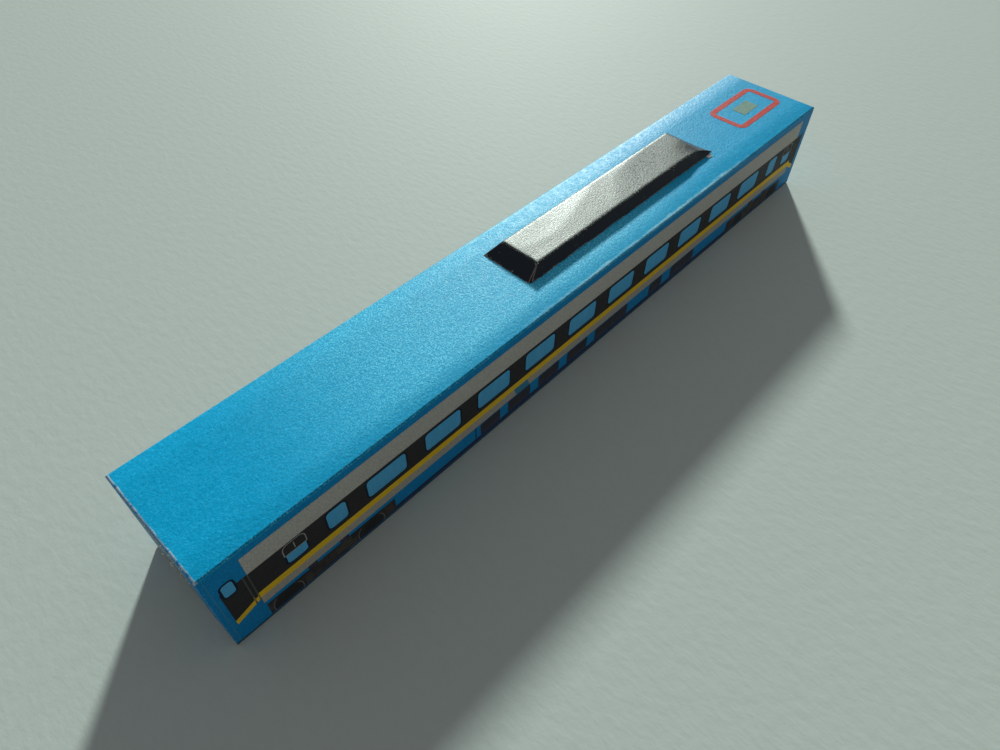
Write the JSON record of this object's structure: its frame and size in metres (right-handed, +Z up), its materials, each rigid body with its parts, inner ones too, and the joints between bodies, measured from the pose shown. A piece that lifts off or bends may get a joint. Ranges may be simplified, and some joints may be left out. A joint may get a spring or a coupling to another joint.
{
  "type": "paper model passenger coach",
  "caption": "Small folded-card model of a passenger coach: closed box with printed windows, stripes and running gear, and a separate black folded lid glued on the roof.",
  "frame": {"origin": "middle of the base, on the table", "axes": "+X along the coach towards its plain end, +Y across, +Z up; the door end is at -X and the near side faces -Y"},
  "size_m": [0.1424, 0.0202, 0.02],
  "materials": {
    "blue_card": "printed, satin",
    "sole_card": "printed, satin",
    "black_card": "printed, satin",
    "white_card": "printed, satin",
    "grey_ink": "printed, satin",
    "charcoal_ink": "printed, satin",
    "yellow_ink": "printed, satin",
    "post_ink": "printed, satin",
    "outline_ink": "printed, satin",
    "pane_ink": "printed, satin",
    "light_line_ink": "printed, satin",
    "teal_ink": "printed, satin",
    "navy_ink": "printed, satin",
    "underframe_ink": "printed, satin",
    "bogie_ink": "printed, satin",
    "olive_ink": "printed, satin",
    "rim_ink": "printed, satin",
    "red_ink": "printed, satin",
    "grey_green_ink": "printed, satin"
  },
  "bodies": {
    "root": {"roof_panel": "blue_card", "base_panel": "sole_card", "side_panel_near": "blue_card", "side_panel_far": "blue_card", "end_panel_left": "blue_card", "end_panel_right": "blue_card", "lid_top": "black_card", "lid_end_left": "black_card", "lid_end_right": "black_card", "lid_side_near": "black_card", "lid_side_far": "black_card", "lid_tab": "white_card", "grey_band_near": "grey_ink", "grey_band_far": "grey_ink", "lower_grey_band_near": "grey_ink", "lower_grey_band_far": "grey_ink", "black_band_near": "charcoal_ink", "black_band_far": "charcoal_ink", "yellow_stripe_near": "yellow_ink", "yellow_stripe_far": "yellow_ink", "door_posts_near": "post_ink", "door_posts_far": "post_ink", "window_lines_near": "outline_ink", "window_lines_far": "outline_ink", "window_panes_near": "pane_ink", "window_panes_far": "pane_ink", "vent_frames_near": "light_line_ink", "vent_frames_far": "light_line_ink", "filler_flap_near": "teal_ink", "filler_flap_far": "teal_ink", "sole_strip_near": "navy_ink", "sole_strip_far": "navy_ink", "underframe_boxes_near": "underframe_ink", "underframe_boxes_far": "underframe_ink", "bogies_near": "bogie_ink", "bogies_far": "bogie_ink", "bogie_springs_near": "olive_ink", "bogie_springs_far": "olive_ink", "bolsters_near": "olive_ink", "bolsters_far": "olive_ink", "wheel_rims_near": "rim_ink", "wheel_rims_far": "rim_ink", "gangway_surround_left": "grey_ink", "gangway_surround_right": "grey_ink", "gangway_door_left": "post_ink", "gangway_door_right": "post_ink", "roof_hatch_frame": "red_ink", "roof_hatch_panel": "grey_green_ink"}
  },
  "joints": []
}
